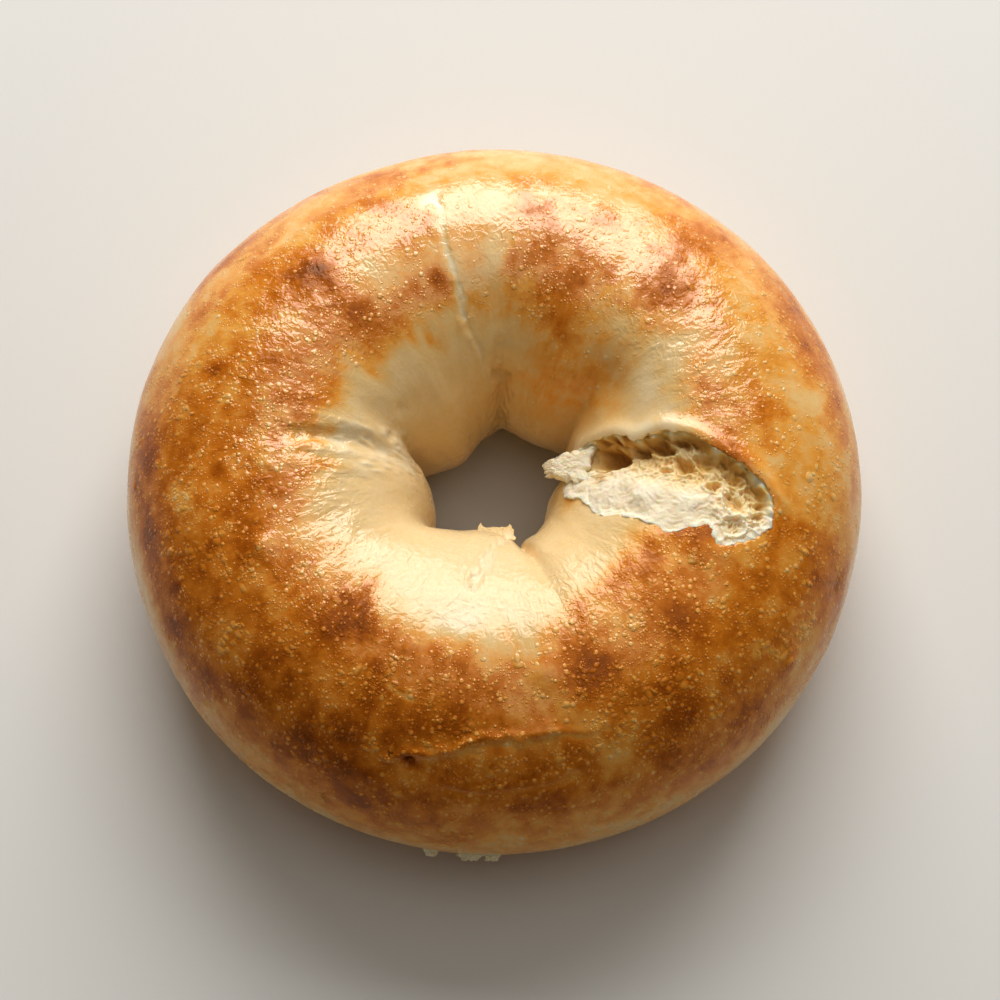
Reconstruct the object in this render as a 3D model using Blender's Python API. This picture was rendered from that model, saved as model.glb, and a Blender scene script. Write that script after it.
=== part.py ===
"""A plain bagel with a torn pocket in its crust, as one solid.

Units are metres, with +Z up. The origin is on the table, under the middle of the ring.
A place on the crust is given by two angles in degrees: the azimuth round the ring, from +X
towards +Y, and the tube angle round its section, which is 0 at the outer side, 90 at the
top, 180 at the hole and 270 underneath.
"""

import math
from collections import namedtuple

import bpy
from mathutils import Vector

NAME = "bagel"

# The ring's section
OUTER_RADIUS = 0.056
RIDGE_RADIUS = 0.033  # where the ring is highest
HOLE_RADIUS = 0.0103
EQUATOR_HEIGHT = 0.018  # where the ring is widest
TOP_RISE = 0.0225  # from the equator to the ridge
UNDERSIDE_DROP = 0.020  # from the equator down, before the baking tray flattens it

# The hole is a little off centre
HOLE_SHIFT = 0.0019
HOLE_SHIFT_AZIMUTH = 48

# Mesh density of the ring
RING_SEGMENTS = 100
TUBE_SEGMENTS = 40

Fold = namedtuple("Fold", "azimuth half_width tube tube_half_width depth")

# Rounded lobes of dough that swell into the hole, and the ring's fuller shoulders
SWELLINGS = (
    Fold(azimuth=122, half_width=24, tube=190, tube_half_width=50, depth=-0.0032),
    Fold(azimuth=60, half_width=16, tube=185, tube_half_width=44, depth=-0.0008),
    Fold(azimuth=262, half_width=24, tube=165, tube_half_width=34, depth=-0.0014),
    Fold(azimuth=345, half_width=24, tube=175, tube_half_width=44, depth=-0.0027),
    Fold(azimuth=35, half_width=24, tube=5, tube_half_width=60, depth=-0.0005),
    Fold(azimuth=145, half_width=24, tube=5, tube_half_width=60, depth=-0.0005),
)

# Pinched creases between the lobes, and the split along the near side of the top
CREASES = (
    Fold(azimuth=85, half_width=6, tube=172, tube_half_width=36, depth=0.0015),
    Fold(azimuth=161, half_width=10, tube=182, tube_half_width=36, depth=0.0038),
    Fold(azimuth=177, half_width=6, tube=126, tube_half_width=28, depth=0.0012),
    Fold(azimuth=218, half_width=18, tube=170, tube_half_width=36, depth=0.0032),
    Fold(azimuth=291, half_width=5, tube=152, tube_half_width=32, depth=0.0020),
    Fold(azimuth=36, half_width=8, tube=182, tube_half_width=36, depth=0.0024),
    Fold(azimuth=272, half_width=16, tube=54, tube_half_width=4, depth=0.0007),
)

# The torn pocket, which runs from the hole's rim over the ridge
TEAR_AZIMUTH = 347
TEAR_LEAN = 4  # how far its hole end swings round from its middle
TEAR_TUBE = 116
TEAR_TUBE_HALF_LENGTH = 49
TEAR_HALF_WIDTH = 0.0082
TEAR_DEPTH = 0.0042
TEAR_SLANT = 0.45  # share by which the far side is deeper than the near one
TEAR_CLEARANCE = 0.004  # how far the cutter stands above the crust
CAVITY_AZIMUTH = 2
CAVITY_TUBE = 136
CAVITY_DEPTH = 0.0028  # from the crust down to the cavity's middle
CAVITY_RADIUS = 0.0034

# The ragged tongue of crumb at the pocket's inner end
TONGUE_ROOT = Vector((0.0150, 0.0002, 0.0268))
TONGUE_TIP = Vector((0.0080, 0.0001, 0.0276))
TONGUE_ROOT_RADIUS = 0.0034
TONGUE_TIP_RADIUS = 0.0012
TONGUE_FLATNESS = 0.5

CRUST_COLOUR = (0.60, 0.29, 0.075, 1.0)
CRUST_ROUGHNESS = 0.42


def clear_scene():
    for item in list(bpy.data.objects):
        bpy.data.objects.remove(item, do_unlink=True)


def new_collection(name):
    collection = bpy.data.collections.new(name)
    bpy.context.scene.collection.children.link(collection)
    return collection


def move_to(item, collection):
    for owner in list(item.users_collection):
        owner.objects.unlink(item)
    collection.objects.link(item)


def angle_between(first, second):
    """The signed difference of two angles in degrees, within half a turn."""
    return (first - second + 180) % 360 - 180


def bell(distance, half_width):
    return math.exp(-((distance / half_width) ** 2))


def pinch(distance, half_width):
    """Falls off as bell does, but from a sharper peak."""
    return math.exp(1 - math.hypot(1, 2 * distance / half_width))


def hole_radius(azimuth):
    return HOLE_RADIUS + HOLE_SHIFT * math.cos(math.radians(azimuth - HOLE_SHIFT_AZIMUTH))


def fold_depth(azimuth, tube):
    total = 0.0
    for folds, profile in ((SWELLINGS, bell), (CREASES, pinch)):
        for fold in folds:
            along = profile(angle_between(azimuth, fold.azimuth), fold.half_width)
            around = bell(angle_between(tube, fold.tube), fold.tube_half_width)
            total += fold.depth * along * around
    return total


def crust_point(azimuth, tube, lift=0.0):
    """The point of the crust at these two angles, raised from it by lift."""
    turn = math.radians(azimuth)
    out = math.cos(math.radians(tube))
    rise = math.sin(math.radians(tube))
    half_width = OUTER_RADIUS - RIDGE_RADIUS if out > 0 else RIDGE_RADIUS - hole_radius(azimuth)
    half_height = TOP_RISE if rise > 0 else UNDERSIDE_DROP
    normal = Vector((out / half_width, rise / half_height)).normalized()
    section = Vector((out * half_width, rise * half_height))
    section += normal * (lift - fold_depth(azimuth, tube))
    radius = RIDGE_RADIUS + section.x
    return Vector((radius * math.cos(turn), radius * math.sin(turn), EQUATOR_HEIGHT + section.y))


def shape_ring(ring):
    """Moves each vertex of a round torus to the crust, and flattens the underside."""
    for vertex in ring.data.vertices:
        x, y, z = vertex.co
        azimuth = math.degrees(math.atan2(y, x))
        tube = math.degrees(math.atan2(z, math.hypot(x, y) - RIDGE_RADIUS))
        point = crust_point(azimuth, tube)
        point.z = max(point.z, 0.0)
        vertex.co = point


def make_ring():
    bpy.ops.mesh.primitive_torus_add(
        major_segments=RING_SEGMENTS,
        minor_segments=TUBE_SEGMENTS,
        major_radius=RIDGE_RADIUS,
        minor_radius=RIDGE_RADIUS - HOLE_RADIUS,
    )
    ring = bpy.context.object
    ring.name = NAME
    ring.data.name = NAME
    shape_ring(ring)
    return ring


def make_tear_cutter():
    """A ball flattened and bent along the crust, with its deeper side away from the front."""
    bpy.ops.mesh.primitive_uv_sphere_add(segments=28, ring_count=14, radius=1.0)
    cutter = bpy.context.object
    cutter.name = "tear_cutter"
    for vertex in cutter.data.vertices:
        across, along, height = vertex.co
        tube = TEAR_TUBE + TEAR_TUBE_HALF_LENGTH * along
        middle = TEAR_AZIMUTH + TEAR_LEAN * along
        ring_distance = crust_point(middle, tube).xy.length
        azimuth = middle + math.degrees(TEAR_HALF_WIDTH * across / ring_distance)
        depth = TEAR_DEPTH * (1 + TEAR_SLANT * across)
        lift = height * (TEAR_CLEARANCE if height > 0 else depth)
        vertex.co = crust_point(azimuth, tube, lift)
    return cutter


def make_cavity_cutter():
    """The hollow that runs in under the pocket's far lip."""
    middle = crust_point(CAVITY_AZIMUTH, CAVITY_TUBE, -CAVITY_DEPTH)
    bpy.ops.mesh.primitive_uv_sphere_add(
        segments=20, ring_count=10, radius=CAVITY_RADIUS, location=middle
    )
    cutter = bpy.context.object
    cutter.name = "cavity_cutter"
    return cutter


def make_tongue():
    """A blunt wedge of crumb that leans out over the hole."""
    reach = TONGUE_TIP - TONGUE_ROOT
    bpy.ops.mesh.primitive_cone_add(
        vertices=12,
        radius1=TONGUE_ROOT_RADIUS,
        radius2=TONGUE_TIP_RADIUS,
        depth=reach.length,
        location=(TONGUE_ROOT + TONGUE_TIP) / 2,
    )
    tongue = bpy.context.object
    tongue.name = "tongue"
    tongue.rotation_mode = "QUATERNION"
    tongue.rotation_quaternion = reach.to_track_quat("Z", "Y")
    tongue.scale = (1.0, TONGUE_FLATNESS, 1.0)
    return tongue


def add_boolean(target, tool, operation):
    modifier = target.modifiers.new(tool.name, "BOOLEAN")
    modifier.operation = operation
    modifier.solver = "EXACT"
    modifier.object = tool
    tool.hide_render = True
    tool.display_type = "WIRE"


def crust_material():
    material = bpy.data.materials.new("crust")
    material.use_nodes = True
    shader = material.node_tree.nodes["Principled BSDF"]
    shader.inputs["Base Color"].default_value = CRUST_COLOUR
    shader.inputs["Roughness"].default_value = CRUST_ROUGHNESS
    shader.inputs["Metallic"].default_value = 0.0
    return material


def main():
    clear_scene()
    parts = new_collection(NAME)
    tools = new_collection("cutters")
    bagel = make_ring()
    move_to(bagel, parts)
    bagel.data.materials.append(crust_material())
    for cutter in (make_tear_cutter(), make_cavity_cutter()):
        add_boolean(bagel, cutter, "DIFFERENCE")
        move_to(cutter, tools)
    tongue = make_tongue()
    add_boolean(bagel, tongue, "UNION")
    move_to(tongue, tools)
    bagel.data.shade_smooth()


main()
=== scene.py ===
"""The looks of a plain bagel: a glossy browned crust, and a torn pocket that shows the crumb.

A place on the crust is given by two angles in degrees, as in the CAD model: the azimuth
round the ring, from +X towards +Y, and the tube angle round its section, which is 0 at the
outer side, 90 at the top, 180 at the hole and 270 underneath. Sizes of fine detail are in
millimetres, and MM turns them into metres.
"""

import itertools
import math
from collections import namedtuple

import bpy
import numpy as np
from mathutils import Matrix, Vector


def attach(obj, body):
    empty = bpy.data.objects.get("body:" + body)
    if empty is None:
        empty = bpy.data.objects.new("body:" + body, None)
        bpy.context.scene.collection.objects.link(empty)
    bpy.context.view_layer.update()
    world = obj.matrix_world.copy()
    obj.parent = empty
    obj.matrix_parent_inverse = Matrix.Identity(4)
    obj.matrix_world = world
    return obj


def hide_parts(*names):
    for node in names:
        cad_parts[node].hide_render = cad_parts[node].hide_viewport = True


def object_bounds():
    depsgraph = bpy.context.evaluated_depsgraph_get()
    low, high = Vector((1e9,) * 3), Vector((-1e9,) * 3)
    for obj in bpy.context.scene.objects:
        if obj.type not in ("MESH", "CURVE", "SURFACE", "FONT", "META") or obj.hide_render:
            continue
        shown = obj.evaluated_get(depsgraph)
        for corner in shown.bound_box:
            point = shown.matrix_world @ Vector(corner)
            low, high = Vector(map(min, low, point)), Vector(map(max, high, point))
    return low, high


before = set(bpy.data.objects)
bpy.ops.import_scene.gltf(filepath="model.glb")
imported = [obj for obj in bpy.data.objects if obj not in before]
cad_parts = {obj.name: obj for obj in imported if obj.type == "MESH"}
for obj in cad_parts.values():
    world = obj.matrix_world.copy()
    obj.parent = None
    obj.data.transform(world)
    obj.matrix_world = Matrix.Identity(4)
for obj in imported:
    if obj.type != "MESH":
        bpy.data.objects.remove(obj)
CAD_LOW, CAD_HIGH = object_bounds()
MM = 0.001

# ---------------------------------------------------------------- the ring's section

OUTER_RADIUS = (CAD_HIGH[1] - CAD_LOW[1]) / 2
RIDGE_RADIUS = 0.033
HOLE_RADIUS = 0.0103
EQUATOR_HEIGHT = 0.018
TOP_RISE = 0.0225
UNDERSIDE_DROP = 0.020
HOLE_SHIFT = 0.0019
HOLE_SHIFT_AZIMUTH = 48
TUBE_ARC = 0.385  # millimetres of crust for one degree of tube angle
RIPPLE_STRETCH = 2.2  # how much longer the skin's ripples are along the section than round it

# The density of the crust's mesh. Its rows lie closer together on the upper side: the knots
# pair a row's number with its tube angle.
CRUST_RINGS = 470
CRUST_ROWS = 200
ROW_KNOTS = (0, 8, 34, 182, 194, 200)
TUBE_KNOTS = (-60, -12, 20, 188, 215, 300)

# The CAD model's swellings of dough and pinched creases, in millimetres. A swelling's depth is
# below 0. The CAD model's split is among the lines here.
Fold = namedtuple("Fold", "azimuth half_width tube tube_half_width depth")
SWELLINGS = (
    Fold(azimuth=122, half_width=24, tube=190, tube_half_width=50, depth=-3.2),
    Fold(azimuth=60, half_width=16, tube=185, tube_half_width=44, depth=-0.8),
    Fold(azimuth=262, half_width=24, tube=165, tube_half_width=34, depth=-1.4),
    Fold(azimuth=345, half_width=24, tube=175, tube_half_width=44, depth=-2.7),
    Fold(azimuth=35, half_width=24, tube=5, tube_half_width=60, depth=-0.5),
    Fold(azimuth=145, half_width=24, tube=5, tube_half_width=60, depth=-0.5),
)
CREASES = (
    Fold(azimuth=85, half_width=6, tube=172, tube_half_width=36, depth=1.5),
    Fold(azimuth=161, half_width=10, tube=182, tube_half_width=36, depth=3.8),
    Fold(azimuth=177, half_width=6, tube=126, tube_half_width=28, depth=1.2),
    Fold(azimuth=218, half_width=18, tube=170, tube_half_width=36, depth=3.2),
    Fold(azimuth=291, half_width=5, tube=152, tube_half_width=32, depth=2.0),
    Fold(azimuth=36, half_width=8, tube=182, tube_half_width=36, depth=2.4),
)

# Fields of fine ripples in the glossy skin, with their half-widths in degrees
Field = namedtuple("Field", "azimuth tube half_azimuth half_tube strength")
RIPPLES = (
    Field(190, 98, 34, 24, 1.0),
    Field(35, 84, 34, 28, 1.0),
    Field(298, 108, 28, 22, 1.0),
    Field(262, 120, 34, 24, 0.8),
    Field(142, 84, 30, 26, 0.9),
    Field(228, 92, 30, 22, 0.8),
    Field(80, 82, 34, 26, 0.7),
    Field(255, 18, 60, 20, 0.6),
)

# Lines in the crust, such as cracks, seams and folds. The width, the groove's depth and the
# height of the lip beside it are in millimetres, and pale is how much less the line browned.
# A groove below 0 is a ridge.
SPLIT_POINTS = ((254, 46), (257, 50), (263, 52), (269, 58), (275, 57), (281, 60))
Line = namedtuple("Line", "points width groove lip pale")
LINES = (
    # The split along the near side with its raised lip, and the finer cracks below it
    Line(SPLIT_POINTS, 0.5, 0.14, 0.48, 0.13),
    Line(((281, 60), (287, 56), (291, 57)), 0.3, 0.14, 0.12, 0.2),
    Line(((284, 43), (277, 40), (268, 38), (262, 39)), 0.4, 0.14, 0.08, 0.12),
    # The pale seam across the far side, and the creases in which it ends at the hole
    Line(((105, 42), (104, 56), (103, 70)), 1.2, 0.12, 0.0, 0.20),
    Line(((103, 66), (102, 80), (103, 94), (102, 108), (102, 122)), 0.38, 0.16, 0.10, 0.24),
    Line(((87, 134), (87, 152)), 0.5, 0.35, 0.0, 0.0),
    Line(((86, 150), (85, 184)), 0.8, 0.8, 0.0, 0.02),
    Line(((102, 122), (99, 131), (95, 142), (91, 156)), 0.35, 0.18, 0.05, 0.05),
    # The folds that run in to the hole on the left, between low ridges
    Line(((178, 99), (176, 112), (174, 124), (171, 138), (171, 160)), 0.8, 0.30, 0.15, 0.08),
    Line(((182, 90), (181, 104), (181, 118), (183, 134), (180, 150)), 1.1, -0.20, 0.0, 0.10),
    Line(((173, 94), (171, 112), (168, 130), (165, 146)), 0.9, -0.16, 0.0, 0.10),
    Line(((187, 88), (188, 104), (189, 122)), 1.0, -0.12, 0.0, 0.08),
    # The fold of skin at the near rim, a crease on the far side, and a scratch
    Line(((284, 160), (277, 149), (269, 140), (266, 128), (262, 116)), 0.6, 0.35, 0.2, 0.1),
    Line(((60, 126), (63, 150), (64, 175)), 0.9, 0.15, 0.0, 0.0),
    Line(((248, 72), (254, 70)), 0.25, 0.1, 0.08, 0.3),
)

# Round bumps, and dents where the height is below 0. The radius and the height are in
# millimetres.
Bump = namedtuple("Bump", "azimuth tube radius height")
BUMPS = (
    Bump(206, 80, 2.0, 0.55),
    Bump(134, 75, 2.6, 0.35),
    Bump(282, 82, 2.4, 0.4),
    Bump(255.6, 47.5, 0.75, -1.8),
    Bump(330, 88, 2.2, 0.3),
    Bump(66, 71, 2.2, 0.35),
    Bump(32, 129, 4.0, -1.3),
    Bump(34, 146, 4.0, -0.9),
    Bump(340, 24, 2.0, -0.3),
    Bump(325, 30, 1.8, 0.3),
    Bump(150, 138, 0.9, -0.3),
    Bump(178, 101, 0.9, -0.6),
    Bump(177, 107, 0.7, -0.5),
    Bump(166, 139, 0.8, -0.6),
    Bump(172, 128, 0.5, -0.35),
)

# Patches that browned more than what is round them, or less where the strength is below 0,
# but for those marked as painted shade. The half sizes are in millimetres. The entries are
# in order of azimuth.
Patch = namedtuple("Patch", "azimuth tube half_around half_along strength")
PATCHES = (
    Patch(8, 70, 3.0, 4.0, 0.22),
    Patch(20, 104, 8.0, 5.0, -0.20),
    # Painted shade in the deep fold of the inner wall, on the far side of the hole
    Patch(32, 129, 6.0, 6.0, 0.12),
    Patch(40, 82, 4.0, 5.0, 0.20),
    Patch(46, 70, 6.0, 5.0, 0.10),
    # Painted shade on the inner wall of the far side of the hole
    Patch(52, 140, 7.0, 9.0, 0.22),
    Patch(66, 71, 3.2, 2.6, 0.30),
    Patch(68, 108, 5.0, 6.0, 0.22),
    Patch(75, 42, 12.0, 6.0, -0.08),
    # Painted shade on the inner wall of the far side of the hole
    Patch(90, 152, 14.0, 11.0, 0.06),
    Patch(108, 103, 1.3, 2.2, 0.38),
    Patch(125, 40, 12.0, 6.0, -0.10),
    Patch(134, 74, 3.4, 3.4, 0.20),
    Patch(151, 101, 3.5, 5.0, 0.12),
    Patch(163, 66, 2.0, 2.0, 0.25),
    Patch(180, 44, 4.0, 9.0, 0.14),
    Patch(193, 42, 3.5, 7.0, 0.20),
    Patch(206, 81, 2.0, 2.0, -0.18),
    Patch(212, 90, 5.0, 4.5, 0.10),
    Patch(232, 90, 5.0, 4.5, 0.10),
    Patch(242, 46, 9.0, 7.0, 0.20),
    # Painted shade: the dark inside of the pit where the split starts
    Patch(255.6, 47.5, 0.9, 0.7, 0.6),
    Patch(262, 66, 5.0, 3.0, 0.14),
    Patch(262, 100, 5.0, 5.0, -0.10),
    Patch(262, 132, 11.0, 8.0, -0.06),
    Patch(268, 42, 12.0, 7.0, 0.16),
    Patch(282, 84, 3.0, 2.6, -0.16),
    Patch(292, 82, 3.5, 8.0, 0.16),
    Patch(294, 88, 5.0, 5.0, 0.12),
    Patch(300, 50, 6.0, 6.0, 0.12),
    Patch(322, 60, 8.0, 8.0, 0.08),
    Patch(328, 103, 4.5, 4.0, 0.22),
    Patch(336, 88, 5.0, 2.4, 0.30),
    Patch(338, 150, 2.6, 2.6, 0.20),
    Patch(342, 50, 5.0, 7.0, 0.12),
    Patch(355, 50, 14.0, 12.0, -0.08),
    Patch(357, 87, 1.8, 2.2, 0.35),
)

# ---------------------------------------------------------------- the torn pocket

# Its own coordinates are in millimetres: along grows away from the hole, and across grows
# towards the far side.
TEAR_AZIMUTH = 347
TEAR_TUBE = 116
TEAR_TUBE_PER_MM = 2.6
TEAR_LEAN_PER_MM = 0.2
TEAR_OUTLINE = (
    (-15.5, 4.8),
    (-10.4, 6.3),
    (-6.0, 6.7),
    (-2.4, 5.9),
    (2.3, 7.8),
    (7.4, 7.7),
    (11.2, 6.5),
    (14.3, 6.0),
    (18.1, 3.7),
    (18.9, 1.6),
    (18.8, -0.7),
    (17.3, -3.6),
    (14.0, -6.6),
    (12.2, -6.3),
    (11.0, -4.6),
    (9.0, -5.7),
    (6.0, -7.6),
    (3.0, -7.0),
    (-1.2, -6.5),
    (-5.6, -6.7),
    (-10.4, -3.8),
    (-15.0, -2.4),
)
OUTLINE_STEPS = 18  # points of the ragged outline for each of those above
POCKET_DEPTH = 6.6
CRUMB_STEP = 0.13
SLAB_STEP = 0.11

# The pocket's wall, level by level: its height over the crust, how far it stands back on the
# far side, and how much farther it does in the cavity there
Level = namedtuple("Level", "lift outset undercut")
POCKET_LEVELS = (
    Level(4.0, 0.0, 0.0),
    Level(0.3, 0.0, 0.0),
    Level(-0.45, 0.0, 0.0),
    Level(-0.8, 0.15, 0.5),
    Level(-1.6, 0.3, 0.9),
    Level(-2.5, 0.3, 1.0),
    Level(-3.6, 0.3, 0.9),
    Level(-POCKET_DEPTH, 0.0, 0.6),
)

# Big airy cells in the crumb, in the pocket's coordinates, and their depths
Cell = namedtuple("Cell", "along across half_along half_across depth")
CELLS = (
    Cell(-8.4, 3.0, 4.4, 2.4, 3.6),
    Cell(-3.2, 4.3, 2.0, 1.5, 1.6),
    Cell(0.8, 5.2, 2.4, 1.3, 1.7),
    Cell(4.6, 3.7, 2.2, 1.5, 1.5),
    Cell(4.2, 6.4, 1.8, 0.8, 1.0),
    Cell(1.6, 2.0, 1.1, 0.6, 0.7),
    Cell(8.2, 5.0, 2.2, 1.6, 0.9),
    Cell(9.5, 1.5, 1.4, 1.1, 1.0),
    Cell(12.6, 4.0, 2.0, 1.3, 0.8),
    Cell(13.4, 0.4, 2.2, 1.5, 1.1),
    Cell(16.8, -0.4, 0.8, 0.8, 1.1),
    Cell(17.2, 1.8, 0.9, 0.9, 1.0),
    Cell(14.4, -3.0, 1.8, 1.6, 0.8),
)


# ---------------------------------------------------------------- noise


def hashed(cell, table):
    """A value of the table for each whole-number cell, the same each time."""
    index = (cell[..., 0] * 73856093) ^ (cell[..., 1] * 19349663) ^ (cell[..., 2] * 83492791)
    return table[index % len(table)]


def smooth_noise(points, seed):
    """Smooth noise from -1 to 1 with cells of size 1."""
    table = np.random.default_rng(seed).uniform(-1, 1, 4096)
    cell = np.floor(points).astype(np.int64)
    part = points - cell
    part = part * part * (3 - 2 * part)
    total = np.zeros(points.shape[:-1])
    for corner in itertools.product((0, 1), repeat=3):
        weight = np.prod(np.where(corner, part, 1 - part), axis=-1)
        total += hashed(cell + corner, table) * weight
    return total


def rough_noise(points, seed, octaves=3):
    total = np.zeros(points.shape[:-1])
    for octave in range(octaves):
        total += 0.5**octave * smooth_noise(points * 2**octave, seed + octave)
    return total


def cell_distances(points, seed):
    """The distances to the nearest and the second nearest of one random point per unit cell."""
    table = np.random.default_rng(seed).uniform(0, 1, (4096, 3))
    cell = np.floor(points).astype(np.int64)
    nearest = np.full(points.shape[:-1], 9.0)
    second = np.full(points.shape[:-1], 9.0)
    for corner in itertools.product((-1, 0, 1), repeat=3):
        other = cell + corner
        distance = np.linalg.norm(other + hashed(other, table) - points, axis=-1)
        second = np.minimum(second, np.maximum(nearest, distance))
        nearest = np.minimum(nearest, distance)
    return nearest, second


def smooth_step(low, high, value):
    part = np.clip((value - low) / (high - low), 0, 1)
    return part * part * (3 - 2 * part)


def bell(distance, half_width):
    return np.exp(-((distance / half_width) ** 2))


def pinch(distance, half_width):
    """Falls off as bell does, but from a sharper peak."""
    return np.exp(1 - np.hypot(1, 2 * distance / half_width))


# ---------------------------------------------------------------- the crust's form


def angle_between(first, second):
    """The signed difference of two angles in degrees, within half a turn."""
    return (first - second + 180) % 360 - 180


def half_widths(azimuth, tube):
    """The section's half-width and half-height on the side where each point is."""
    hole = HOLE_RADIUS + HOLE_SHIFT * np.cos(np.radians(azimuth - HOLE_SHIFT_AZIMUTH))
    outer = np.cos(np.radians(tube)) > 0
    upper = np.sin(np.radians(tube)) > 0
    width = np.where(outer, OUTER_RADIUS - RIDGE_RADIUS, RIDGE_RADIUS - hole)
    height = np.where(upper, TOP_RISE, UNDERSIDE_DROP)
    return width, height


def crust_points(azimuth, tube, lift):
    """Points raised by lift, in metres, from the plain ring at these angles."""
    azimuth, tube, lift = np.broadcast_arrays(azimuth, tube, lift)
    width, height = half_widths(azimuth, tube)
    out = np.cos(np.radians(tube))
    rise = np.sin(np.radians(tube))
    length = np.hypot(out / width, rise / height)
    radius = RIDGE_RADIUS + out * width + lift * out / width / length
    level = EQUATOR_HEIGHT + rise * height + lift * rise / height / length
    turn = np.radians(azimuth)
    return np.stack([radius * np.cos(turn), radius * np.sin(turn), level], axis=-1)


def crust_angles(points):
    """The azimuth and tube angle of points on or near the crust."""
    x, y, z = points.T
    azimuth = np.degrees(np.arctan2(y, x)) % 360
    out = np.hypot(x, y) - RIDGE_RADIUS
    rise = z - EQUATOR_HEIGHT
    side = np.where(out > 0, 0.0, 180.0)
    width, _ = half_widths(azimuth, side)
    height = np.where(rise > 0, TOP_RISE, UNDERSIDE_DROP)
    tube = np.degrees(np.arctan2(rise / height, out / width)) % 360
    return azimuth, np.where(tube > 290, tube - 360, tube)


def wrapped(azimuth, tube, stretch=1.0):
    """Coordinates in millimetres that have no seam round the ring, for noise to read.
    A stretch over 1 draws the noise out along the tube's section."""
    turn = np.radians(azimuth)
    ring = RIDGE_RADIUS / MM
    along = tube * TUBE_ARC / stretch
    return np.stack([ring * np.cos(turn), ring * np.sin(turn), along], axis=-1)


def ring_radius(azimuth, tube):
    """The distance from the ring's axis, in millimetres."""
    width, _ = half_widths(azimuth, tube)
    return (RIDGE_RADIUS + np.cos(np.radians(tube)) * width) / MM


def spot(azimuth, tube, centre, half_around, half_along):
    """A soft spot of these half sizes in millimetres, from 1 at its centre to 0."""
    around = np.radians(angle_between(azimuth, centre[0])) * ring_radius(azimuth, tube)
    along = (tube - centre[1]) * TUBE_ARC
    return np.exp(-((around / half_around) ** 2) - (along / half_along) ** 2)


def line_distance(azimuth, tube, points):
    """The distance in millimetres to a line through these angles, and how far past its
    side of greater tube angle each point lies."""
    radius = ring_radius(azimuth, tube)
    nearest = np.full(azimuth.shape, 1e3)
    beyond = np.zeros(azimuth.shape)
    for start, end in zip(points, points[1:]):
        around = np.radians(angle_between(azimuth, start[0])) * radius
        along = (tube - start[1]) * TUBE_ARC
        run = np.radians(angle_between(end[0], start[0])) * radius
        rise = (end[1] - start[1]) * TUBE_ARC
        share = np.clip((around * run + along * rise) / (run**2 + rise**2), 0, 1)
        distance = np.hypot(around - share * run, along - share * rise)
        closer = distance < nearest
        nearest = np.where(closer, distance, nearest)
        beyond = np.where(closer, along - share * rise, beyond)
    return nearest, beyond


def fold_relief(azimuth, tube):
    """How far the swellings and creases raise the crust, in millimetres."""
    total = np.zeros(azimuth.shape)
    for folds, profile in ((SWELLINGS, bell), (CREASES, pinch)):
        for fold in folds:
            along = profile(angle_between(azimuth, fold.azimuth), fold.half_width)
            around = bell(angle_between(tube, fold.tube), fold.tube_half_width)
            total -= fold.depth * along * around
    return total


def ripple_strength(azimuth, tube):
    """How strong the skin's fine ripples are at each place."""
    total = np.full(azimuth.shape, 0.10)
    for field in RIPPLES:
        around = bell(angle_between(azimuth, field.azimuth), field.half_azimuth)
        along = bell(tube - field.tube, field.half_tube)
        total = np.maximum(total, field.strength * around * along)
    return total


def ragged_lines(azimuth, tube):
    """Each line with the distance to it, made ragged, and which side each point is on."""
    wander = 1.3 * rough_noise(wrapped(azimuth, tube) / 1.8, 60, 3)
    for line in LINES:
        distance, beyond = line_distance(azimuth, tube, line.points)
        yield line, np.abs(distance + line.width * wander), beyond


def line_relief(azimuth, tube):
    """How far the lines raise the crust, in millimetres. Each has its lip on the side of
    greater tube angle."""
    total = np.zeros(azimuth.shape)
    for line, distance, beyond in ragged_lines(azimuth, tube):
        total -= line.groove * bell(distance, line.width)
        total += line.lip * bell(distance - 2.2 * line.width, 1.2 * line.width) * (beyond > 0)
    return total


def crust_relief(azimuth, tube):
    """How far the crust stands out from the plain ring, in millimetres."""
    flow = wrapped(azimuth, tube)
    total = fold_relief(azimuth, tube)
    total += 0.30 * rough_noise(flow / 15, 11, 2)
    total += 0.07 * rough_noise(flow / 4, 14, 2)
    bend = np.stack([smooth_noise(flow / 5, seed) for seed in (17, 18, 19)], axis=-1)
    ripple_flow = wrapped(azimuth, tube, RIPPLE_STRETCH) + 1.4 * bend
    ripple = 1 - 2 * np.abs(smooth_noise(ripple_flow / 2.7, 21))
    total += 0.085 * ripple_strength(azimuth, tube) * ripple
    total += line_relief(azimuth, tube)
    total += 0.6 * tear_lip(azimuth, tube)
    for bump in BUMPS:
        total += bump.height * spot(azimuth, tube, bump[:2], bump.radius, bump.radius)
    return total


def tear_place(along, across):
    """The azimuth and tube angle of a place in the pocket's own coordinates."""
    tube = TEAR_TUBE - TEAR_TUBE_PER_MM * along
    middle = TEAR_AZIMUTH - TEAR_LEAN_PER_MM * along
    azimuth = middle + np.degrees(across / ring_radius(middle, tube))
    return azimuth, tube


def tear_coordinates(azimuth, tube):
    """The reverse of tear_place."""
    along = (TEAR_TUBE - tube) / TEAR_TUBE_PER_MM
    middle = TEAR_AZIMUTH - TEAR_LEAN_PER_MM * along
    across = np.radians(angle_between(azimuth, middle)) * ring_radius(middle, tube)
    return along, across


def flat_places(along, across):
    """Places in the pocket's coordinates as points for noise to read."""
    return np.stack([along, across, np.zeros(along.shape)], axis=-1)


def tear_lip(azimuth, tube):
    """From 1 along the rolled lip at the tear's far edge to 0."""
    along, across = tear_coordinates(azimuth, tube)
    beside = (np.abs(along) < 23) & (np.abs(across) < 12)
    outline = closed_curve(TEAR_OUTLINE, 4)
    gap = distance_to_outline(along[beside], across[beside], outline)
    total = np.zeros(azimuth.shape)
    total[beside] = bell(gap - 1.0, 1.4) * (0.15 + 0.85 * smooth_step(0.5, 4.5, across[beside]))
    return total


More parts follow.
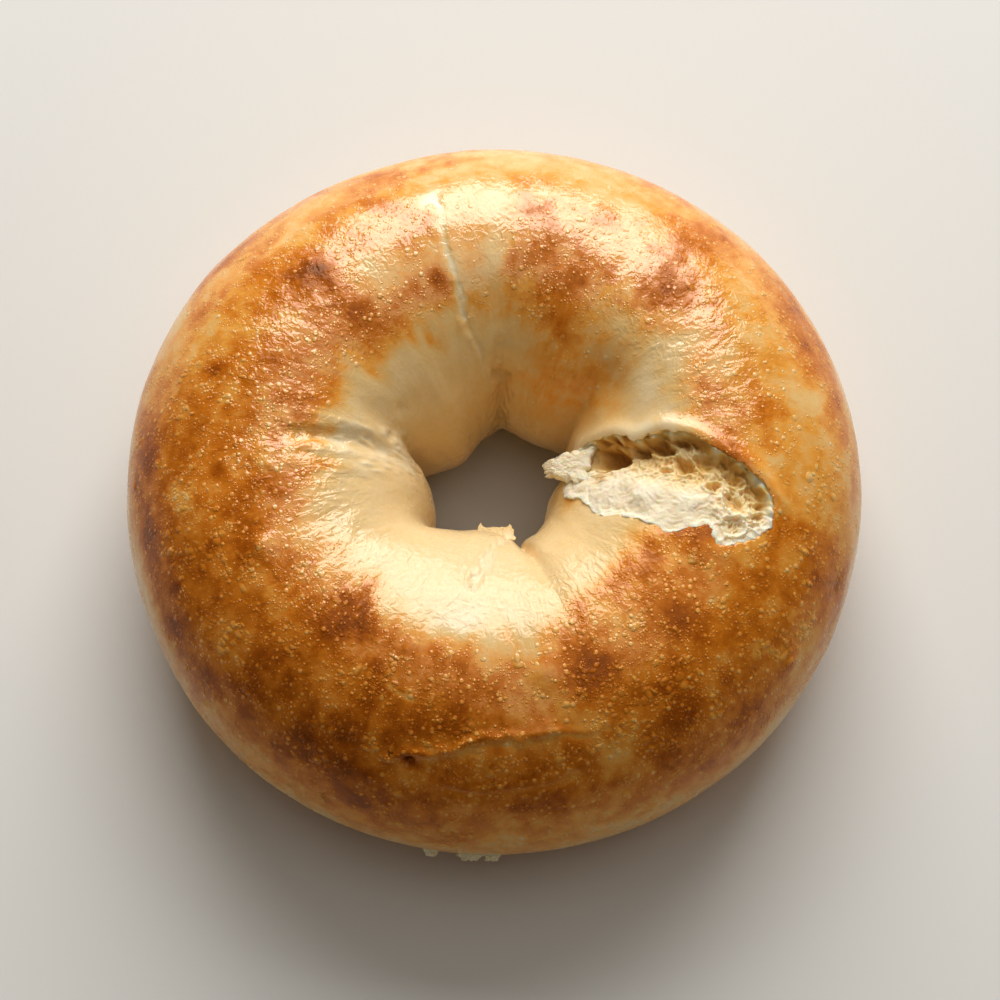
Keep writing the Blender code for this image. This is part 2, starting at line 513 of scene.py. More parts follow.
def closed_curve(points, steps):
    """A smooth closed curve through the points (Catmull-Rom)."""
    points = np.array(points, float)
    share = np.linspace(0, 1, steps, endpoint=False)[:, None]
    pieces = []
    for number in range(len(points)):
        before, start, end, after = np.roll(points, 1 - number, axis=0)[:4]
        bend = 2 * before - 5 * start + 4 * end - after
        turn = -before + 3 * start - 3 * end + after
        pieces.append(start + 0.5 * share * (end - before + share * (bend + share * turn)))
    return np.concatenate(pieces)


def tear_outline():
    """The pocket's ragged outline, and its outward directions."""
    curve = closed_curve(TEAR_OUTLINE, OUTLINE_STEPS)
    ahead = np.roll(curve, -2, axis=0) - np.roll(curve, 2, axis=0)
    outward = np.stack([-ahead[:, 1], ahead[:, 0]], axis=-1)
    outward /= np.linalg.norm(outward, axis=1)[:, None]
    flat = flat_places(*curve.T)
    ragged = 0.22 * smooth_noise(flat / 0.8, 31) + 0.14 * smooth_noise(flat / 0.35, 32)
    return curve + outward * ragged[:, None], outward


def distance_to_outline(along, across, outline):
    """The distance from each place to the outline, negative inside it."""
    places = np.stack([along, across], axis=-1)
    nearest = np.full(along.shape, 1e3)
    inside = np.zeros(along.shape, bool)
    for start, end in zip(outline, np.roll(outline, -1, axis=0)):
        run = end - start
        share = np.clip(((places - start) @ run) / (run @ run), 0, 1)
        gap = places - start - share[..., None] * run
        nearest = np.minimum(nearest, np.hypot(gap[..., 0], gap[..., 1]))
        crosses = (start[1] > across) != (end[1] > across)
        if end[1] != start[1]:
            cut = start[0] + (across - start[1]) * run[0] / run[1]
            inside ^= crosses & (along < cut)
    return np.where(inside, -nearest, nearest)


# ---------------------------------------------------------------- meshes


def new_mesh_object(name, points, faces, material, smooth=True):
    mesh = bpy.data.meshes.new(name)
    mesh.from_pydata(points.tolist(), [], faces)
    mesh.materials.append(material)
    if smooth:
        mesh.shade_smooth()
    item = bpy.data.objects.new(name, mesh)
    bpy.context.scene.collection.objects.link(item)
    return item


def grid_faces(rows, columns, wrap_rows=False, wrap_columns=False):
    """The quads of a grid of points, numbered row by row."""
    row = np.arange(rows if wrap_rows else rows - 1)
    column = np.arange(columns if wrap_columns else columns - 1)
    row, column = np.meshgrid(row, column, indexing="ij")
    next_row = (row + 1) % rows
    next_column = (column + 1) % columns
    corners = [
        row * columns + column,
        row * columns + next_column,
        next_row * columns + next_column,
        next_row * columns + column,
    ]
    return np.stack(corners, axis=-1).reshape(-1, 4)


def slab_faces(rows, columns):
    """A closed slab: an upper grid, a lower grid after it, and the sides between them."""
    upper = grid_faces(rows, columns)
    count = rows * columns
    lower = upper[:, ::-1] + count
    number = np.arange(count).reshape(rows, columns)
    rim = np.concatenate([number[0], number[1:, -1], number[-1, -2::-1], number[-2:0:-1, 0]])
    ahead = np.roll(rim, -1)
    sides = np.stack([ahead, rim, rim + count, ahead + count], axis=-1)
    return np.concatenate([upper, lower, sides])


def set_attribute(item, name, values):
    """Stores a number or a vector for each vertex, for a material to read."""
    kind = "FLOAT" if values.ndim == 1 else "FLOAT_VECTOR"
    attribute = item.data.attributes.new(name, kind, "POINT")
    attribute.data.foreach_set("value" if values.ndim == 1 else "vector", values.ravel())


def mesh_points(item):
    values = np.empty(len(item.data.vertices) * 3)
    item.data.vertices.foreach_get("co", values)
    return values.reshape(-1, 3)


def apply_modifiers(item):
    graph = bpy.context.evaluated_depsgraph_get()
    mesh = bpy.data.meshes.new_from_object(item.evaluated_get(graph))
    item.modifiers.clear()
    item.data = mesh


def cut(item, cutter):
    """Cuts the cutter out of the item, and then removes the cutter."""
    modifier = item.modifiers.new("cut", "BOOLEAN")
    modifier.operation = "DIFFERENCE"
    modifier.solver = "EXACT"
    modifier.object = cutter
    apply_modifiers(item)
    bpy.data.objects.remove(cutter)


# ---------------------------------------------------------------- looks of the crust


def browning_and_painted_shade(azimuth, tube):
    """How far the crust has browned, from 0, pale dough, to 1, darkest, most in a mottled band
    over the top whose edges wander; a few patches add painted shade to it."""
    flow = wrapped(azimuth, tube)
    blotches = rough_noise(flow / 6, 41, 3)
    flames = smooth_noise(wrapped(azimuth, tube, 4.0) / 1.7, 49)
    inner_edge = 108 + 14 * np.sin(np.radians(azimuth)) + 8 * smooth_noise(flow / 5, 45)
    inner_edge += 3 * flames + 5 * smooth_noise(flow / 2.2, 50)
    outer_edge = 20 + 5 * smooth_noise(flow / 6, 46) - 11 * bell(angle_between(azimuth, 300), 75)
    band = smooth_step(outer_edge - 24, outer_edge + 16, tube)
    band = band * (1 - smooth_step(inner_edge - 14, inner_edge + 14, tube))
    # The band is darker towards azimuth 250, on the near left, and paler towards azimuth 70
    level = 0.51 + 0.10 * np.cos(np.radians(azimuth - 250)) + 0.20 * blotches + 0.03 * flames
    under = smooth_step(200, 235, tube) + (1 - smooth_step(-35, 10, tube))
    dough = 0.13 + 0.07 * (1 - smooth_step(30, 80, tube)) * (1 + smooth_noise(flow / 3, 47))
    total = dough + band * (level - dough) + 0.18 * np.minimum(under, 1)
    for patch in PATCHES:
        total += patch.strength * spot(azimuth, tube, patch[:2], patch[2], patch[3])
    for line, distance, _ in ragged_lines(azimuth, tube):
        total -= line.pale * bell(distance, 1.2 * line.width)
    total -= 0.08 * tear_lip(azimuth, tube)
    return np.clip(total, 0, 1)


def finish_crust(item, extra_browning=0.0):
    """Gives a crust piece what its material reads. The glaze is thickest along the top, and
    duller round the azimuths of the tear and of the near side."""
    azimuth, tube = crust_angles(mesh_points(item))
    brown_and_shade = np.clip(browning_and_painted_shade(azimuth, tube) + extra_browning, 0, 1)
    set_attribute(item, "browning_and_painted_shade", brown_and_shade)
    set_attribute(item, "ripple", ripple_strength(azimuth, tube))
    set_attribute(item, "flow", wrapped(azimuth, tube, RIPPLE_STRETCH) * MM)
    dull = 0.6 * bell(angle_between(azimuth, 335), 32)
    dull += 0.4 * bell(angle_between(azimuth, 262), 60)
    set_attribute(item, "glaze", bell(tube - 90, 42) * (1 - np.minimum(dull, 0.65)))
    # The pocket's walls, cut in the crust and coloured as crumb, get the darker tan of painted
    # shade
    set_attribute(item, "depth", np.full(len(azimuth), 0.55))


def make_crust(material, inner_material):
    """The whole crust as a closed mesh, with the pocket cut out of it."""
    tube = np.interp(np.arange(CRUST_ROWS), ROW_KNOTS, TUBE_KNOTS)
    azimuth = np.arange(CRUST_RINGS) * 360 / CRUST_RINGS
    tube, azimuth = np.meshgrid(tube, azimuth, indexing="ij")
    relief = crust_relief(azimuth, tube)
    points = crust_points(azimuth, tube, relief * MM)
    points[..., 2] = np.maximum(points[..., 2], 0)
    faces = grid_faces(CRUST_ROWS, CRUST_RINGS, wrap_rows=True, wrap_columns=True)
    points = points.reshape(-1, 3)
    crust = new_mesh_object("crust", points, faces[:, ::-1].tolist(), material)
    crust.data.materials.append(inner_material)
    cut(crust, make_pocket_cutter(inner_material))
    finish_crust(crust)
    return crust


def make_pocket_cutter(material):
    """Rings of the tear's outline, level by level: ragged at the top and rough below."""
    outline, outward = tear_outline()
    smooth = closed_curve(TEAR_OUTLINE, OUTLINE_STEPS)
    count = len(outline)
    far = smooth_step(0, 4, outline[:, 1])
    cavity = far * bell(outline[:, 0] + 8, 7)
    rings = []
    for level in POCKET_LEVELS:
        inside = level.lift < -0.5
        wall = np.concatenate([smooth, np.full((count, 1), level.lift)], axis=1)
        rough = 0.25 * rough_noise(wall / 0.9, 33, 2) * inside
        outset = level.outset * far + level.undercut * cavity + rough
        ring = (smooth if inside else outline) + outward * outset[:, None]
        azimuth, tube = tear_place(ring[:, 0], ring[:, 1])
        relief = crust_relief(azimuth, tube) if level.lift < 1 else 0.0
        rings.append(crust_points(azimuth, tube, (level.lift + relief) * MM))
    middle = tear_place(*outline.mean(axis=0))
    lifts = np.array([POCKET_LEVELS[0].lift, POCKET_LEVELS[-1].lift])
    points = np.concatenate(rings + [crust_points(*middle, lifts * MM)])
    faces = grid_faces(len(rings), count, wrap_columns=True).tolist()
    ahead = (np.arange(count) + 1) % count
    top = len(rings) * count
    last = (len(rings) - 1) * count
    faces += [[ahead[i], i, top] for i in range(count)]
    faces += [[last + i, last + ahead[i], top + 1] for i in range(count)]
    cutter = new_mesh_object("pocket_cutter", points, faces, material, smooth=False)
    make_outward(cutter.data)
    return cutter


def make_outward(mesh):
    """Turns the faces round if the closed mesh is inside out."""
    mesh.calc_loop_triangles()
    volume = 0.0
    for triangle in mesh.loop_triangles:
        a, b, c = (mesh.vertices[i].co for i in triangle.vertices)
        volume += a.dot(b.cross(c))
    if volume < 0:
        mesh.flip_normals()


# ---------------------------------------------------------------- the crumb


def big_cells(flat):
    """How deep the big cells are at each place, and from 0 to 1 where their webs stand."""
    hollow = np.zeros(flat.shape[:-1])
    web = np.zeros(flat.shape[:-1])
    for cell in CELLS:
        distance = np.hypot(
            (flat[..., 0] - cell.along) / cell.half_along,
            (flat[..., 1] - cell.across) / cell.half_across,
        )
        hollow = np.maximum(hollow, cell.depth * (1 - smooth_step(0.2, 1.05, distance)))
        web = np.maximum(web, bell(distance - 1.1, 0.16))
    return hollow, web


def crumb_height(along, across, edge, soft_edge):
    """The crumb's level below the crust, in millimetres, over the pocket. It rises towards
    the soft edge, and past the ragged edge it drops out of sight."""
    flat = flat_places(along, across)
    bend = np.stack([rough_noise(flat / 2.2, seed, 3) for seed in (51, 151, 251)], axis=-1)
    flat = flat + 0.6 * bend
    far = smooth_step(-2.0, 4.0, across)
    root = 1 - smooth_step(-15.0, -12.5, along)
    height = -0.15 - 1.6 * far * (1 - root) + 0.2 * root
    height += 0.35 * rough_noise(flat / 3.2, 54, 2)

    hollow, web = big_cells(flat)
    height += 0.35 * web - hollow
    airy = np.clip(0.8 * far + smooth_step(9, 13, along), 0, 1) * (1 - 0.6 * root)
    for size, share, seed in ((1.5, 0.42, 55), (0.8, 0.24, 56), (0.42, 0.09, 57)):
        near, second = cell_distances(flat / size, seed)
        height -= share * (0.12 + airy) * smooth_step(0.0, 0.5, second - near)

    # Fibres that curl round a place near the pocket's middle
    out_along, out_across = flat[..., 0] - 5.0, flat[..., 1] - 1.5
    turn = np.arctan2(out_across, out_along)
    reach = np.hypot(out_across, out_along)
    fibres = np.stack([reach / 0.4, turn * 3.5, 0 * reach], axis=-1)
    height += 0.09 * smooth_noise(fibres, 58) + 0.035 * rough_noise(flat / 0.35, 59, 2)

    rim = smooth_step(-1.2, 0.0, soft_edge)
    height = height * (1 - 0.85 * rim) + (0.12 + 0.3 * far) * rim
    height += 0.25 * rim * smooth_noise(flat / 0.9, 62)
    return np.where(edge > 0.2, np.minimum(height, -1.4), height)


def make_crumb(material):
    """A closed slab of crumb that fills the pocket from below."""
    outline, _ = tear_outline()
    along = np.arange(-17.0, 20.5, CRUMB_STEP)
    across = np.arange(-9.0, 9.8, CRUMB_STEP)
    along, across = np.meshgrid(along, across, indexing="ij")
    edge = distance_to_outline(along, across, outline[::3])
    flat = flat_places(along, across)
    soft_edge = distance_to_outline(along, across, closed_curve(TEAR_OUTLINE, 6))
    soft_edge += 0.45 * rough_noise(flat / 1.4, 63, 2)
    height = crumb_height(along, across, edge, soft_edge)
    azimuth, tube = tear_place(along, across)
    lift = height + fold_relief(azimuth, tube)
    upper = crust_points(azimuth, tube, lift * MM).reshape(-1, 3)
    floor = fold_relief(azimuth, tube) - POCKET_DEPTH - 1.0
    lower = crust_points(azimuth, tube, floor * MM).reshape(-1, 3)
    points = np.concatenate([upper, lower])
    crumb = new_mesh_object("crumb", points, slab_faces(*along.shape).tolist(), material)
    make_outward(crumb.data)
    # Painted shade: the deeper the crumb lies the darker its colour, and darker still in the
    # cavity under the crust's far edge
    shade = 0.75 * smooth_step(-14.0, -11.0, along) * smooth_step(1.0, 5.0, across)
    shade = shade * smooth_step(-2.4, -0.3, soft_edge) * (0.6 + 0.8 * smooth_noise(flat / 1.2, 61))
    depth = np.clip(-height / 5 + shade, 0, 1).ravel()
    set_attribute(crumb, "depth", np.concatenate([depth, depth]))
    return crumb


def ragged_slab(
    name, root, tip, side, widths, thickness, rag, seed, material, spikes=(), hollow=0
):
    """A torn scrap from root to tip, with a ragged outline and thin edges, in millimetres.
    The widths are its half-widths from the root to the tip, spikes at its tip are (place
    from -1 to 1, length), and hollow is how far its root end curves in at the middle."""
    root, tip, side = (np.array(value, float) for value in (root, tip, side))
    reach = tip - root
    length = np.linalg.norm(reach)
    forward = reach / length
    side = side - forward * (side @ forward)
    side /= np.linalg.norm(side)
    up = np.cross(forward, side)
    up = up if up[2] > 0 else -up
    rows = max(int(length / SLAB_STEP), 12)
    columns = max(int(2 * max(widths) / SLAB_STEP), 12)
    share, place = np.meshgrid(
        np.linspace(0, 1, rows), np.linspace(-1, 1, columns), indexing="ij"
    )
    grain = np.stack([share * length, place * max(widths), 0 * share], axis=-1)
    half = np.interp(share, np.linspace(0, 1, len(widths)), widths)
    other_side = np.where(place > 0, 7.3, 0.0)  # far enough off for the noise to differ
    half = half + rag * rough_noise((other_side[..., None] + grain * (1, 0, 0)) / 0.6, seed, 2)
    end_noise = grain * (0, 1, 0)
    extra = rag * rough_noise(end_noise / 0.6, seed + 2, 2)
    for centre, size in spikes:
        extra = extra + size * np.exp(-np.abs(place - centre) / 0.10)
    back = rag * smooth_noise(end_noise / 0.7, seed + 6) + hollow * place**2
    distance = share * (length + extra) - (1 - share) * back
    rim = np.minimum(np.minimum(1 - np.abs(place), 1 - share) * 5, share * 2.5)
    rim = np.clip(rim, 0, 1)
    swell = thickness * (0.2 + 0.8 * np.sqrt(rim))
    rough = 0.16 * smooth_noise(grain / 0.5, seed + 4)
    rough += 0.10 * smooth_noise(grain / 0.22, seed + 5)
    upper = 0.5 * swell + rough * rim
    lower = -0.5 * swell + 0.5 * rough * rim
    flat = root + distance[..., None] * forward + (place * half)[..., None] * side
    points = [(flat + level[..., None] * up).reshape(-1, 3) for level in (upper, lower)]
    points = np.concatenate(points) * MM
    slab = new_mesh_object(name, points, slab_faces(rows, columns).tolist(), material)
    make_outward(slab.data)
    return slab


def make_tongue(material):
    """The scrap of crumb that leans out over the hole."""
    tongue = ragged_slab(
        "tongue",
        root=(14.3, -0.3, 30.3),
        tip=(7.9, 0.2, 27.4),
        side=(0.1, 1, 0),
        widths=(3.3, 2.8, 2.0, 1.1),
        thickness=2.0,
        rag=0.5,
        seed=71,
        material=material,
        hollow=1.4,
    )
    # Next to no painted shade on the tongue
    set_attribute(tongue, "depth", np.full(len(tongue.data.vertices), 0.05))
    return tongue


def make_flap(material):
    """The thin scrap of crust at the near rim of the hole."""
    flap = ragged_slab(
        "flap",
        root=(0.3, -10.6, 26.8),
        tip=(0.3, -7.9, 24.9),
        side=(1, 0, 0),
        widths=(3.0, 2.5),
        thickness=0.6,
        rag=0.16,
        seed=81,
        material=material,
        spikes=((-0.92, 1.1), (0.86, 0.9)),
    )
    finish_crust(flap)
    return flap


def make_flakes(material):
    """Small pale flakes at the near bottom edge."""
    flakes = []
    for number, (azimuth, width) in enumerate(((260.4, 1.3), (266.6, 2.2), (270.0, 1.5))):
        start = crust_points(azimuth, -17, -0.3 * MM) / MM
        end = crust_points(azimuth - 0.4, -23, 1.25 * MM) / MM
        flake = ragged_slab(
            f"flake_{number + 1}",
            root=start,
            tip=end,
            side=(1, 0, 0),
            widths=(width, 0.8 * width, 0.45 * width),
            thickness=0.4,
            rag=0.25,
            seed=90 + 10 * number,
            material=material,
        )
        # A little painted shade in the flakes' crumb colour
        set_attribute(flake, "depth", np.full(len(flake.data.vertices), 0.2))
        flakes.append(flake)
    return flakes


# ---------------------------------------------------------------- blisters


BLISTERS = 2600
DOME_RINGS = (0.45, 0.8, 1.12)  # shares of a dome's radius. The last is sunk in the crust.
DOME_SIDES = 8


def scatter_blisters(rng):
    """The angles of blisters, most of them in clusters where the near side browned, and none
    on a line or at the tear."""
    azimuth = rng.uniform(0, 360, BLISTERS * 8)
    tube = rng.uniform(8, 122, BLISTERS * 8)
    chance = ring_radius(azimuth, tube) / 56 * smooth_step(0.24, 0.62, browning_and_painted_shade(azimuth, tube))
    chance = chance * np.clip(0.5 - 0.6 * np.sin(np.radians(azimuth)), 0.05, 1)
    clusters = smooth_noise(wrapped(azimuth, tube) / 3.2, 48)
    chance = chance * smooth_step(-0.15, 0.45, clusters)
    outline, _ = tear_outline()
    clear = distance_to_outline(*tear_coordinates(azimuth, tube), outline[::6]) > 0.8
    for line in LINES:
        clear &= line_distance(azimuth, tube, line.points)[0] > 0.6 + line.width
    kept = (rng.uniform(0, 1, len(azimuth)) < chance) & clear
    return azimuth[kept][:BLISTERS], tube[kept][:BLISTERS]


def dome_faces():
    """The faces of one dome: a point, its rings, and a base."""
    here = [1 + side for side in range(DOME_SIDES)]
    ahead = here[1:] + here[:1]
    faces = [[0, a, b] for a, b in zip(here, ahead)]
    for ring in range(len(DOME_RINGS) - 1):
        low, high = DOME_SIDES * ring, DOME_SIDES * (ring + 1)
        faces += [[low + a, high + a, high + b, low + b] for a, b in zip(here, ahead)]
    last = DOME_SIDES * (len(DOME_RINGS) - 1)
    faces.append([last + a for a in here[::-1]])
    return faces


def make_blisters(material):
    """Small domes where the skin blistered in the oven."""
    rng = np.random.default_rng(7)
    azimuth, tube = (angles[:, None] for angles in scatter_blisters(rng))
    count = len(azimuth)
    radius = np.clip(rng.lognormal(-1.1, 0.46, count), 0.15, 0.9)[:, None]
    stretch = rng.uniform(0.65, 1.5, count)[:, None]
    height = radius * rng.uniform(0.10, 0.24, count)[:, None]
    share = np.concatenate([[0.0], np.repeat(DOME_RINGS, DOME_SIDES)])
    turns = np.radians(np.arange(DOME_SIDES) * 360 / DOME_SIDES)
    turns = np.concatenate([[0.0], np.tile(turns, len(DOME_RINGS))])
    around = radius * stretch * share * np.cos(turns)
    along = radius / stretch * share * np.sin(turns)
    spot_azimuth = azimuth + np.degrees(around / ring_radius(azimuth, tube))
    spot_tube = tube + along / TUBE_ARC
    dome = (1 - np.minimum(share, 1) ** 2) ** 1.7
    relief = crust_relief(spot_azimuth, spot_tube)
    relief += height * dome - 0.01 - 0.08 * (share > 1)
    points = crust_points(spot_azimuth, spot_tube, relief * MM).reshape(-1, 3)
    firsts = range(0, len(points), len(share))
    faces = [[first + corner for corner in face] for first in firsts for face in dome_faces()]
    blisters = new_mesh_object("blisters", points, faces, material)
    finish_crust(blisters, extra_browning=-0.14 * np.tile(dome, count))
    return blisters


# ---------------------------------------------------------------- materials


def new_node(tree, kind, **settings):
    node = tree.nodes.new(kind)
    for name, value in settings.items():
        setattr(node, name, value)
    return node


def feed(tree, socket, value):
    """Links value to the socket if it is a socket, or else sets it."""
    if isinstance(value, bpy.types.NodeSocket):
        tree.links.new(value, socket)
    else:
        socket.default_value = value


def maths(tree, operation, *values, clamp=False):
    node = new_node(tree, "ShaderNodeMath", operation=operation, use_clamp=clamp)
    for socket, value in zip(node.inputs, values):
        feed(tree, socket, value)
    return node.outputs["Value"]


def attribute(tree, name, output="Fac"):
    return new_node(tree, "ShaderNodeAttribute", attribute_name=name).outputs[output]


def noise_texture(tree, vector, scale, detail=3.0, roughness=0.55, distortion=0.0):
    node = new_node(tree, "ShaderNodeTexNoise")
    feed(tree, node.inputs["Distortion"], distortion)
    feed(tree, node.inputs["Vector"], vector)
    feed(tree, node.inputs["Scale"], scale)
    feed(tree, node.inputs["Detail"], detail)
    feed(tree, node.inputs["Roughness"], roughness)
    return node.outputs["Fac"]


def map_range(tree, value, low, high, to_low, to_high, smooth=True):
    node = new_node(tree, "ShaderNodeMapRange")
    node.interpolation_type = "SMOOTHSTEP" if smooth else "LINEAR"
    for socket, entry in zip(node.inputs, (value, low, high, to_low, to_high)):
        feed(tree, socket, entry)
    return node.outputs["Result"]


def colour_ramp(tree, value, stops):
    node = new_node(tree, "ShaderNodeValToRGB")
    ramp = node.color_ramp
    while len(ramp.elements) < len(stops):
        ramp.elements.new(0.5)
    for element, (place, colour) in zip(ramp.elements, stops):
        element.position = place
        element.color = (*colour, 1.0)
    feed(tree, node.inputs["Fac"], value)
    return node.outputs["Color"]


def bump(tree, height, depth_mm, normal=None):
    node = new_node(tree, "ShaderNodeBump")
    feed(tree, node.inputs["Height"], height)
    feed(tree, node.inputs["Distance"], depth_mm * MM)
    if normal is not None:
        feed(tree, node.inputs["Normal"], normal)
    return node.outputs["Normal"]


def new_material(name):
    material = bpy.data.materials.new(name)
    material.use_nodes = True
    tree = material.node_tree
    return material, tree, tree.nodes["Principled BSDF"]


def fine_blisters(tree, place, cell_mm, share):
    """Domes scattered one to a cell, for the share of the cells that is given."""
    node = new_node(tree, "ShaderNodeTexVoronoi", feature="F1")
    feed(tree, node.inputs["Vector"], place)
    feed(tree, node.inputs["Scale"], 1 / (cell_mm * MM))
    parts = new_node(tree, "ShaderNodeSeparateColor")
    feed(tree, parts.inputs["Color"], node.outputs["Color"])
    radius = map_range(tree, parts.outputs["Red"], 0.0, 1.0, 0.16, 0.50)
    flat = maths(tree, "MULTIPLY", radius, 0.3)
    dome = map_range(tree, node.outputs["Distance"], flat, radius, 1.0, 0.0)
    chosen = maths(tree, "LESS_THAN", parts.outputs["Green"], share)
    return maths(tree, "MULTIPLY", dome, chosen)


# The crust's colour by how far it browned, and by the painted shade that some patches add
CRUST_STOPS = (
    (0.00, (0.83, 0.69, 0.43)),
    (0.20, (0.80, 0.53, 0.20)),
    (0.38, (0.82, 0.36, 0.052)),
    (0.58, (0.64, 0.190, 0.010)),
    (0.78, (0.38, 0.088, 0.003)),
    (1.00, (0.17, 0.035, 0.002)),
)


def crust_domes(tree, place, brown_and_shade):
    """Blisters too small for the mesh, in clusters and where the crust browned."""
    share = map_range(tree, brown_and_shade, 0.22, 0.58, 0.0, 0.9)
    clusters = map_range(tree, noise_texture(tree, place, 330, 2.0, 0.5), 0.35, 0.62, 0.2, 1.0)
    share = maths(tree, "MULTIPLY", share, clusters)
    domes = fine_blisters(tree, place, 1.05, share)
    for cell_mm, size in ((0.60, 0.7), (0.40, 0.5)):
        smaller = maths(tree, "MULTIPLY", fine_blisters(tree, place, cell_mm, share), size)
        domes = maths(tree, "MAXIMUM", domes, smaller)
    return domes


def crust_tone(tree, place, flow, brown_and_shade, domes):
    """How far the crust browned, with its painted shade, blotches, streaks and specks, and lighter
    domes.
    """
    amount = map_range(tree, brown_and_shade, 0.15, 0.45, 0.1, 1.0)
    blotches = map_range(tree, noise_texture(tree, place, 260, 4.0, 0.6), 0.34, 0.66, -0.10, 0.10)
    toned = maths(tree, "MULTIPLY_ADD", blotches, amount, brown_and_shade)
    streaks = maths(tree, "SUBTRACT", noise_texture(tree, flow, 900, 3.0, 0.6), 0.5)
    streaks = maths(tree, "MULTIPLY", streaks, amount)
    toned = maths(tree, "MULTIPLY_ADD", streaks, 0.30, toned)
    specks = maths(tree, "SUBTRACT", noise_texture(tree, place, 1500, 2.0, 0.5), 0.5)
    toned = maths(tree, "MULTIPLY_ADD", specks, 0.10, toned)
    lightening = maths(tree, "MULTIPLY", brown_and_shade, -0.42)
    return maths(tree, "MULTIPLY_ADD", domes, lightening, toned, clamp=True)


def crust_normal(tree, place, flow, domes):
    """Ripples that run with the skin, the domes, crinkles and pores."""
    ripple = attribute(tree, "ripple")
    wrinkles = noise_texture(tree, flow, 480, 2.0, 0.5, distortion=0.9)
    wrinkles = maths(tree, "MULTIPLY", wrinkles, ripple)
    crinkles = noise_texture(tree, place, 780, 2.0, 0.5, distortion=1.0)
    crinkled = map_range(tree, ripple, 0.0, 0.7, 0.3, 1.3)
    crinkles = maths(tree, "MULTIPLY", crinkles, crinkled)
    pores = noise_texture(tree, place, 1900, 3.0, 0.6)
    normal = None
    for height, depth_mm in ((wrinkles, 0.30), (domes, 0.10), (crinkles, 0.13), (pores, 0.015)):
        normal = bump(tree, height, depth_mm, normal)
    return normal


def crust_material():
    material, tree, shader = new_material("crust")
    place = new_node(tree, "ShaderNodeTexCoord").outputs["Object"]
    flow = attribute(tree, "flow", "Vector")
    brown_and_shade = attribute(tree, "browning_and_painted_shade")
    domes = crust_domes(tree, place, brown_and_shade)
    toned = crust_tone(tree, place, flow, brown_and_shade, domes)
    feed(tree, shader.inputs["Base Color"], colour_ramp(tree, toned, CRUST_STOPS))
    normal = crust_normal(tree, place, flow, domes)
    feed(tree, shader.inputs["Normal"], normal)
    feed(tree, shader.inputs["Coat Normal"], normal)

    gloss = noise_texture(tree, place, 180, 3.0, 0.6)
    feed(tree, shader.inputs["Roughness"], map_range(tree, gloss, 0.3, 0.7, 0.17, 0.31))
    shader.inputs["Specular IOR Level"].default_value = 0.22
    shader.inputs["Specular Tint"].default_value = (1.0, 0.70, 0.38, 1.0)
    thin_where_dark = map_range(tree, toned, 0.46, 0.72, 1.0, 0.1)
    glaze = maths(tree, "MULTIPLY", attribute(tree, "glaze"), thin_where_dark)
    feed(tree, shader.inputs["Coat Weight"], glaze)
    shader.inputs["Coat Roughness"].default_value = 0.13
    shader.inputs["Coat IOR"].default_value = 1.7
    shader.inputs["Subsurface Weight"].default_value = 0.12
    shader.inputs["Subsurface Radius"].default_value = (1.0, 0.45, 0.2)
    shader.inputs["Subsurface Scale"].default_value = 1.2 * MM
    return material


# The crumb's colour by depth, which is painted shade: from the pale lit surface to the darker
# tan of deep cells, of the cavity and of the pocket's walls
CRUMB_STOPS = (
    (0.00, (0.93, 0.84, 0.65)),
    (0.30, (0.87, 0.67, 0.34)),
    (0.60, (0.80, 0.48, 0.13)),
    (1.00, (0.50, 0.24, 0.05)),
)


def crumb_material():
    material, tree, shader = new_material("crumb")
    place = new_node(tree, "ShaderNodeTexCoord").outputs["Object"]
    depth = attribute(tree, "depth")
    grain = noise_texture(tree, place, 1400, 6.0, 0.75)
    cream = noise_texture(tree, place, 330, 3.0, 0.6)
    # The depth attribute brings the painted shade, and the cream noise the crumb's own uneven tone
    tone = maths(tree, "MULTIPLY_ADD", maths(tree, "SUBTRACT", cream, 0.45), 0.35, depth)
    specks = maths(tree, "SUBTRACT", grain, 0.5)
    tone = maths(tree, "MULTIPLY_ADD", specks, 0.3, tone, clamp=True)
    feed(tree, shader.inputs["Base Color"], colour_ramp(tree, tone, CRUMB_STOPS))
    feed(tree, shader.inputs["Normal"], bump(tree, grain, 0.17))
    shader.inputs["Roughness"].default_value = 0.75
    shader.inputs["Specular IOR Level"].default_value = 0.25
    shader.inputs["Subsurface Weight"].default_value = 0.7
    shader.inputs["Subsurface Radius"].default_value = (1.0, 0.65, 0.35)
    shader.inputs["Subsurface Scale"].default_value = 1.4 * MM
    return material


def floor_material():
    material, _, shader = new_material("pale_floor")
    shader.inputs["Base Color"].default_value = (0.735, 0.735, 0.70, 1.0)
    shader.inputs["Roughness"].default_value = 0.7
    return material


# ---------------------------------------------------------------- stage, light and camera


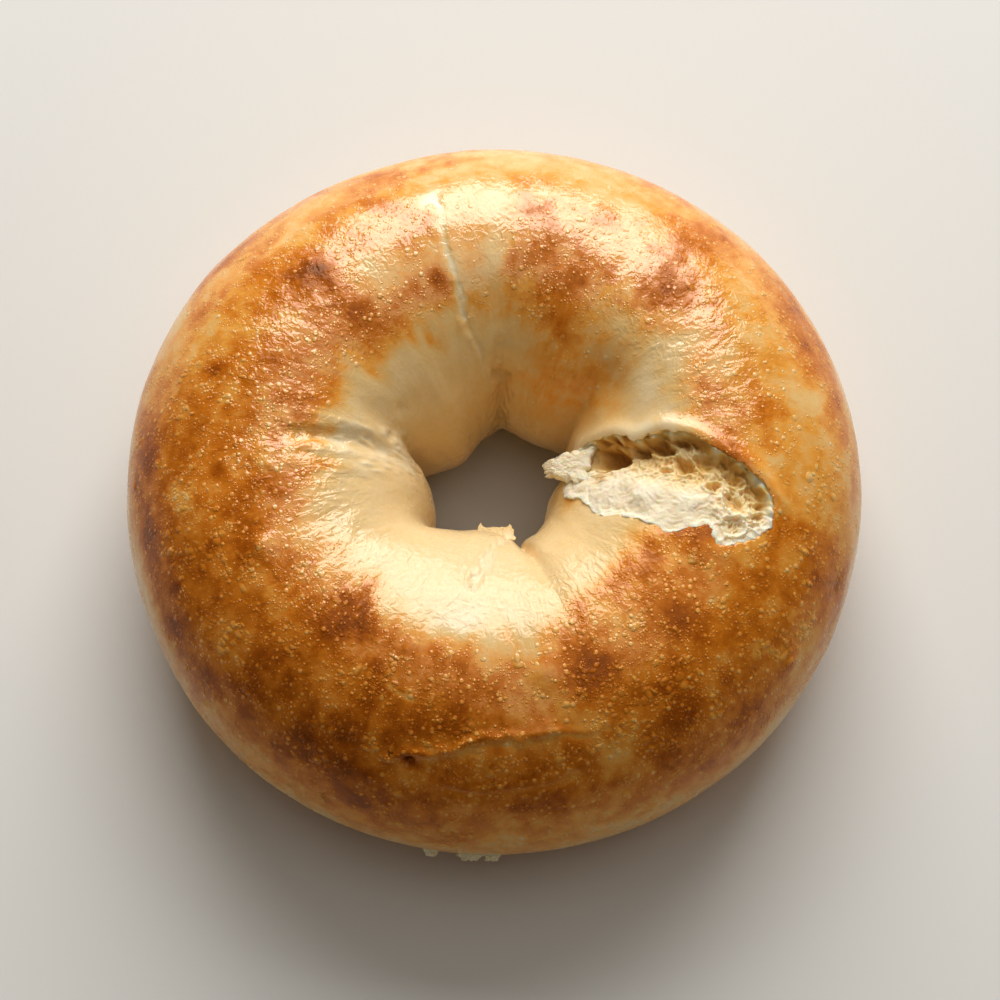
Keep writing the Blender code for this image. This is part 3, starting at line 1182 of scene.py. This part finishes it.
def make_floor():
    bpy.ops.mesh.primitive_plane_add(size=4.0)
    floor = bpy.context.object
    floor.name = "floor"
    floor.data.materials.append(floor_material())


def aim(item, target):
    item.rotation_mode = "QUATERNION"
    item.rotation_quaternion = (Vector(target) - item.location).to_track_quat("-Z", "Y")


def add_area_light(name, location, size, power, colour):
    light = bpy.data.lights.new(name, "AREA")
    light.shape = "RECTANGLE"
    light.size, light.size_y = size
    light.energy = power
    light.color = colour
    item = bpy.data.objects.new(name, light)
    item.location = location
    bpy.context.scene.collection.objects.link(item)
    aim(item, (0, 0, 0.02))


def make_lights():
    add_area_light("window", (0.07, 0.80, 0.60), (0.9, 0.85), 14.4, (1.0, 0.965, 0.945))
    add_area_light("overhead", (0.15, 0.1, 1.3), (1.0, 1.0), 2.9, (1.0, 0.95, 0.88))
    world = bpy.data.worlds.new("room")
    world.use_nodes = True
    background = world.node_tree.nodes["Background"]
    background.inputs["Color"].default_value = (1.0, 0.93, 0.84, 1.0)
    background.inputs["Strength"].default_value = 0.10
    bpy.context.scene.world = world


CAMERA_ELEVATION = 69.5
CAMERA_DISTANCE = 0.450
CAMERA_TARGET = Vector((0.0010, -0.0017, 0.020))
CAMERA_LENS = 106.4


def make_camera():
    data = bpy.data.cameras.new("camera")
    data.lens = CAMERA_LENS
    data.sensor_width = 36.0
    camera = bpy.data.objects.new("camera", data)
    elevation = math.radians(CAMERA_ELEVATION)
    back = Vector((0, -math.cos(elevation), math.sin(elevation)))
    camera.location = CAMERA_TARGET + back * CAMERA_DISTANCE
    bpy.context.scene.collection.objects.link(camera)
    aim(camera, CAMERA_TARGET)
    bpy.context.scene.camera = camera


def main():
    crust_look = crust_material()
    crumb_look = crumb_material()
    crust = make_crust(crust_look, crumb_look)
    pieces = [crust, make_blisters(crust_look), make_flap(crust_look)]
    pieces += [make_crumb(crumb_look), make_tongue(crumb_look), *make_flakes(crumb_look)]
    for piece in pieces:
        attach(piece, "root")
    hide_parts("bagel")
    make_floor()
    make_lights()
    make_camera()
    bpy.context.scene.view_settings.view_transform = "Standard"


main()
